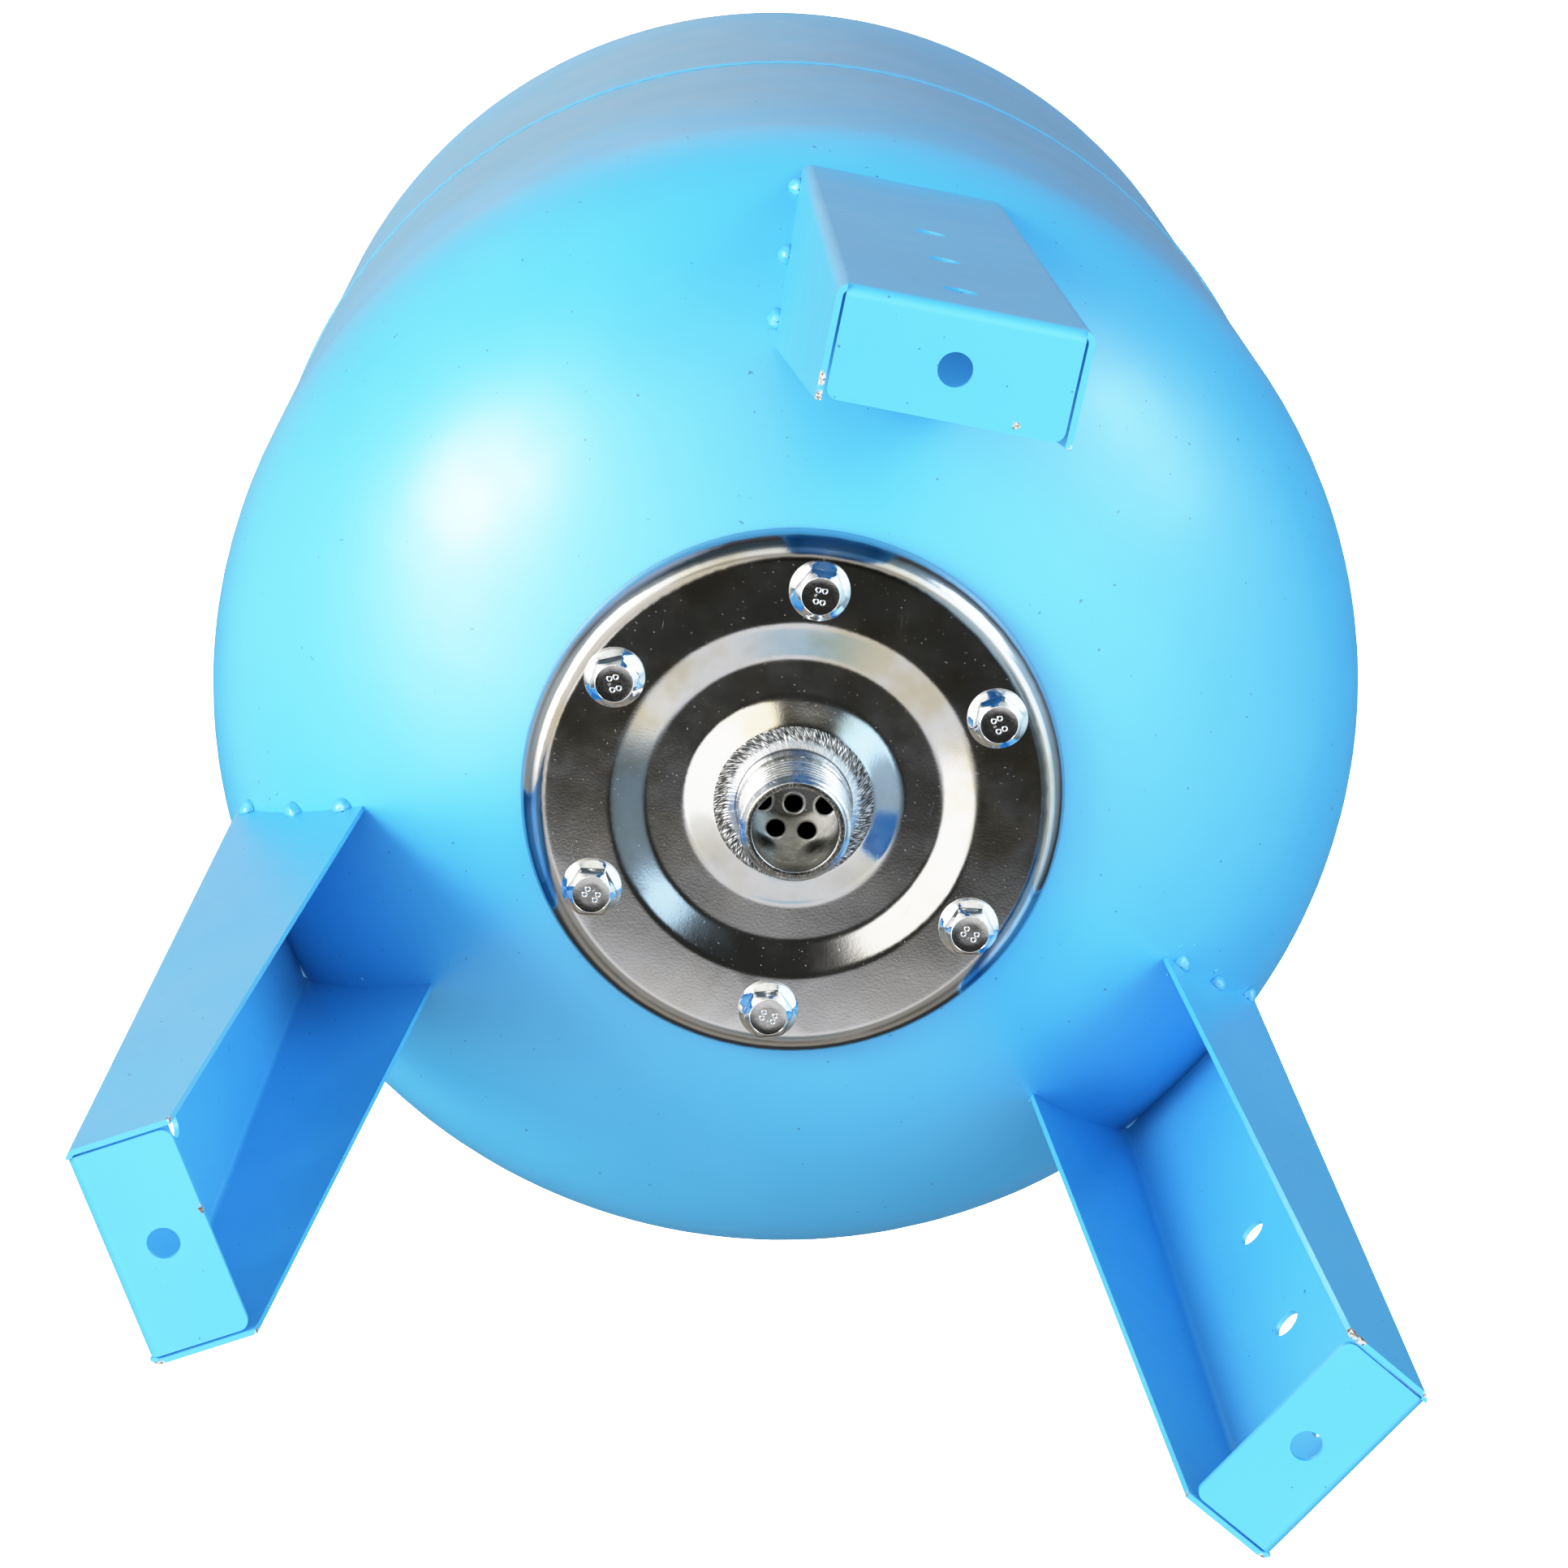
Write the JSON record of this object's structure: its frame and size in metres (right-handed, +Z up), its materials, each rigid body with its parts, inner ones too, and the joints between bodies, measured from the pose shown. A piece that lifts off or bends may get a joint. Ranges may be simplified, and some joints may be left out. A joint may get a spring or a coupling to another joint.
{
  "type": "well pressure tank",
  "caption": "Upright bladder pressure tank with dished ends, channel legs, a bolted counterflange with a threaded nipple underneath, and an air valve on top.",
  "frame": {"origin": "on the floor, on the tank's axis, at the centre of the three foot holes", "axes": "+Z up along the tank's axis, leg 1 towards -Y"},
  "size_m": [0.3688, 0.3702, 0.7556],
  "materials": {
    "tank_paint": "semi-gloss light azure enamel",
    "leg_paint": "semi-gloss light azure enamel, bare at cut edges",
    "flange_steel": "bright pressed zinc-plated steel",
    "nipple_steel": "bright turned steel",
    "weld_steel": "brushed weld",
    "bolt_zinc": "bright zinc",
    "ring_steel": "plain steel",
    "bladder_rubber": "matt black rubber",
    "seal_rubber": "matt black rubber",
    "valve_brass": "turned brass",
    "spring_steel": "drawn wire",
    "cap_plastic": "matt black plastic"
  },
  "bodies": {
    "tank": {"lower_shell": "tank_paint", "upper_shell": "tank_paint", "girth_weld": "tank_paint", "neck_ring": "ring_steel", "bladder": "bladder_rubber", "counterflange": "flange_steel", "connection_nipple": "nipple_steel", "nipple_weld": "weld_steel", "valve_boss": "tank_paint", "valve_seal": "seal_rubber", "valve_stem": "valve_brass", "valve_core": "valve_brass", "valve_spring": "spring_steel", "flange_bolt_1": "bolt_zinc", "flange_bolt_2": "bolt_zinc", "flange_bolt_3": "bolt_zinc", "flange_bolt_4": "bolt_zinc", "flange_bolt_5": "bolt_zinc", "flange_bolt_6": "bolt_zinc", "leg_1": "leg_paint", "leg_welds_1": "leg_paint", "leg_2": "leg_paint", "leg_welds_2": "leg_paint", "leg_3": "leg_paint", "leg_welds_3": "leg_paint"},
    "valve_pin": {"valve_pin": "valve_brass"},
    "valve_cap": {"valve_cap": "cap_plastic"}
  },
  "joints": [
    {"name": "valve_press", "type": "slide", "parent": "tank", "child": "valve_pin", "axis": [0, 0, -1], "range_m": [0, 0.0015], "stiffness_N_per_m": 800, "springref_m": -0.001, "deforming": ["valve_spring"]},
    {"name": "cap_lift", "type": "slide", "parent": "tank", "child": "valve_cap", "axis": [0, 0, 1], "range_m": [0, 0.02]}
  ]
}
